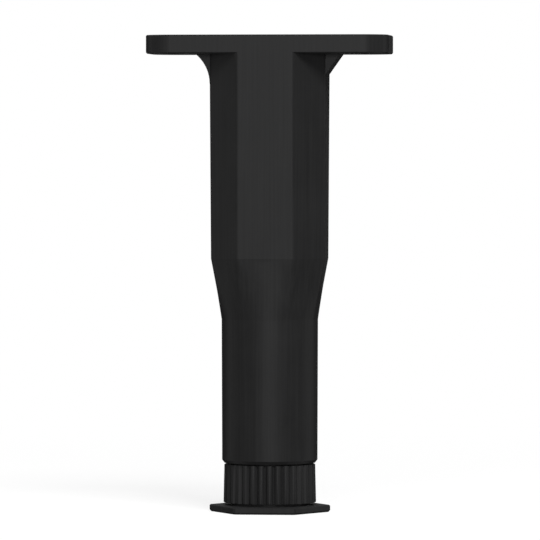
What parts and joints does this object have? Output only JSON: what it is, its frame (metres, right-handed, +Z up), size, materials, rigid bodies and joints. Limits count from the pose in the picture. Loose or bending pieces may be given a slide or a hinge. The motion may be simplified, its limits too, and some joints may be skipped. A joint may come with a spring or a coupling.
{
  "type": "adjustable bed support leg",
  "caption": "Black plastic bed support leg: a fixing plate on a column with cut corners that runs into a round tube, with a ribbed adjusting screw and a flat six-sided foot plate.",
  "frame": {"origin": "on the leg's axis, on the floor under the foot plate", "axes": "+Z up along the leg's axis, +X along the fixing plate's long side, -Y the front that the picture shows"},
  "size_m": [0.102, 0.0446, 0.2],
  "materials": {
    "foot_plastic": "satin black moulded plastic",
    "screw_plastic": "satin black moulded plastic",
    "leg_plastic": "satin black moulded plastic"
  },
  "bodies": {
    "foot": {"foot_plate": "foot_plastic"},
    "screw": {"adjusting_screw": "screw_plastic"},
    "leg": {"leg_body": "leg_plastic"}
  },
  "joints": [
    {"name": "screw_turn", "type": "hinge", "parent": "foot", "child": "screw", "pos_m": [0, 0, 0.00405], "axis": [0, 0, -1], "range_deg": [0, 1800]},
    {"name": "leg_rise", "type": "slide", "parent": "foot", "child": "leg", "axis": [0, 0, 1], "range_m": [0, 0.03]}
  ],
  "couplings": [
    {"joint": "screw_turn", "follows": "leg_rise", "rad_per_m": 1047.2}
  ]
}
